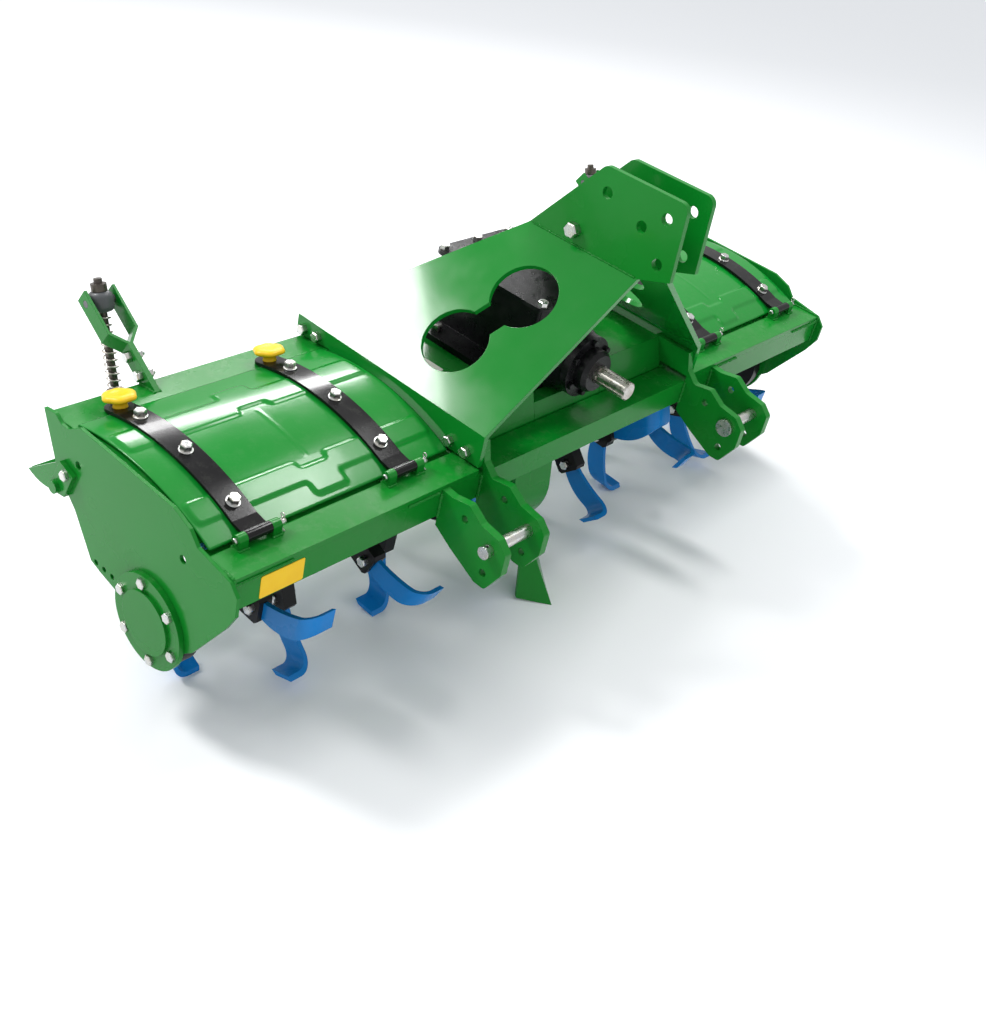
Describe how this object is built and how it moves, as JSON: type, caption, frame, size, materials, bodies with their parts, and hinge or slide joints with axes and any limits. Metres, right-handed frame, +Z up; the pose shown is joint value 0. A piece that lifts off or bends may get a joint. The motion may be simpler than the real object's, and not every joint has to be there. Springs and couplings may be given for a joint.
{
  "type": "rotary tiller",
  "caption": "Three-point-hitch rotary tiller with a bent-plate mast, gearbox, bladed rotor under a hood with hinged lids, and a sprung trailing board.",
  "frame": {"origin": "middle of the footprint, on the floor under the rotor's lowest tips", "axes": "+X along the working width to the right, -Y towards the tractor, +Z up"},
  "size_m": [1.656, 0.714, 0.8053],
  "materials": {
    "green_paint": "gloss",
    "black_paint": "gloss",
    "black_casting": "satin",
    "blue_paint": "gloss",
    "zinc": "satin",
    "bright_steel": "satin",
    "grey_paint": "satin",
    "yellow_plastic": "gloss"
  },
  "bodies": {
    "frame": {"end_plate_left": "green_paint", "end_plate_right": "green_paint", "front_beam": "green_paint", "lid_sills": "green_paint", "rear_beam": "green_paint", "hood_deck": "green_paint", "hanger_left": "green_paint", "hanger_right": "green_paint", "mast_plate_left": "green_paint", "mast_plate_right": "green_paint", "mast_spacer": "zinc", "hitch_ears_left": "green_paint", "hitch_ears_right": "green_paint", "hitch_pins": "zinc", "gearbox_case": "black_casting", "gearbox_cover": "black_casting", "input_housing": "black_casting", "drop_case": "green_paint", "drop_case_cover": "green_paint", "centre_share": "green_paint", "bearing_housings": "black_paint", "bearing_covers": "green_paint", "lid_hinges": "green_paint", "rod_forks": "green_paint", "board_brackets": "green_paint"},
    "rotor": {"rotor_shaft_left": "black_paint", "rotor_shaft_right": "black_paint", "blades_left": "blue_paint", "blades_right": "blue_paint"},
    "input": {"input_shaft": "bright_steel"},
    "lid_left": {"lid_left": "green_paint", "lid_straps_left": "black_paint", "knobs_left": "yellow_plastic"},
    "lid_right": {"lid_right": "green_paint", "lid_straps_right": "black_paint", "knobs_right": "yellow_plastic"},
    "trailing_board": {"trailing_board": "green_paint", "board_cheeks": "green_paint", "board_lugs": "green_paint"},
    "trunnion_left": {"rod_trunnion_left": "grey_paint", "rod_spring_left": "bright_steel"},
    "trunnion_right": {"rod_trunnion_right": "grey_paint", "rod_spring_right": "bright_steel"},
    "spring_rod_left": {"spring_rod_left": "zinc"},
    "spring_rod_right": {"spring_rod_right": "zinc"}
  },
  "joints": [
    {"name": "rotor_spin", "type": "hinge", "parent": "frame", "child": "rotor", "pos_m": [0, -0.03482, 0.18439], "axis": [1, 0, 0], "continuous": true},
    {"name": "input_spin", "type": "hinge", "parent": "frame", "child": "input", "pos_m": [0, -0.22273, 0.43579], "axis": [0, -0.9961, -0.0882], "continuous": true},
    {"name": "board_hinge", "type": "hinge", "parent": "frame", "child": "trailing_board", "pos_m": [0, 0.19524, 0.30716], "axis": [1, 0, 0], "range_deg": [0, 30]},
    {"name": "left_lid_hinge", "type": "hinge", "parent": "frame", "child": "lid_left", "pos_m": [-0.434, -0.16321, 0.37581], "axis": [1, 0, 0], "range_deg": [0, 100]},
    {"name": "left_trunnion", "type": "hinge", "parent": "frame", "child": "trunnion_left", "pos_m": [-0.64, 0.33516, 0.51833], "axis": [1, 0, 0], "range_deg": [-5.73, 0]},
    {"name": "left_rod", "type": "slide", "parent": "trunnion_left", "child": "spring_rod_left", "axis": [0, 0.2145, 0.9767], "range_m": [0, 0.04373], "deforming": ["rod_spring_left"]},
    {"name": "right_lid_hinge", "type": "hinge", "parent": "frame", "child": "lid_right", "pos_m": [0.434, -0.16321, 0.37581], "axis": [1, 0, 0], "range_deg": [0, 100]},
    {"name": "right_trunnion", "type": "hinge", "parent": "frame", "child": "trunnion_right", "pos_m": [0.64, 0.33516, 0.51833], "axis": [1, 0, 0], "range_deg": [-5.73, 0]},
    {"name": "right_rod", "type": "slide", "parent": "trunnion_right", "child": "spring_rod_right", "axis": [0, 0.2145, 0.9767], "range_m": [0, 0.04373], "deforming": ["rod_spring_right"]}
  ],
  "couplings": [
    {"joint": "input_spin", "follows": "rotor_spin", "ratio": 2.7},
    {"joint": "left_trunnion", "follows": "board_hinge", "ratio": -0.1902},
    {"joint": "left_rod", "follows": "board_hinge", "m_per_rad": 0.083323},
    {"joint": "right_trunnion", "follows": "board_hinge", "ratio": -0.1902},
    {"joint": "right_rod", "follows": "board_hinge", "m_per_rad": 0.083323}
  ]
}
